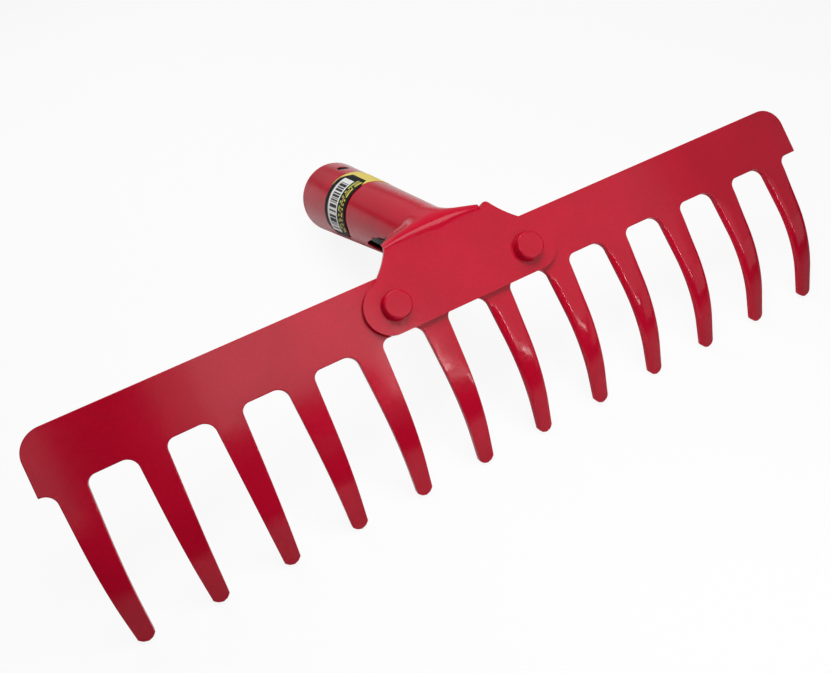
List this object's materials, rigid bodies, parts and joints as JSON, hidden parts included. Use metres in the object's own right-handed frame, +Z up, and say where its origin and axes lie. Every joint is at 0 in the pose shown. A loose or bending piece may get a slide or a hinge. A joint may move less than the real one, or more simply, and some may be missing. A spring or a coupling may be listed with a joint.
{
  "type": "garden rake head",
  "caption": "Stamped steel garden rake head with curved tapered teeth and a riveted bracket rolled into a tapered handle socket, painted gloss red.",
  "frame": {"origin": "centre of the bounding box's base, on the surface that the rake head lies on", "axes": "+X along the toothed bar, +Y from the teeth towards the socket's mouth, +Z up, with the bar's front face up and the tooth tips and the rim of the mouth on the surface"},
  "size_m": [0.356, 0.1968, 0.0828],
  "materials": {
    "comb_paint": "gloss",
    "bracket_paint": "gloss",
    "rivet_paint": "gloss",
    "label_film": "gloss"
  },
  "bodies": {
    "root": {"toothed_head": "comb_paint", "socket_bracket": "bracket_paint", "rivet_left": "rivet_paint", "rivet_right": "rivet_paint", "socket_label": "label_film"}
  },
  "joints": []
}
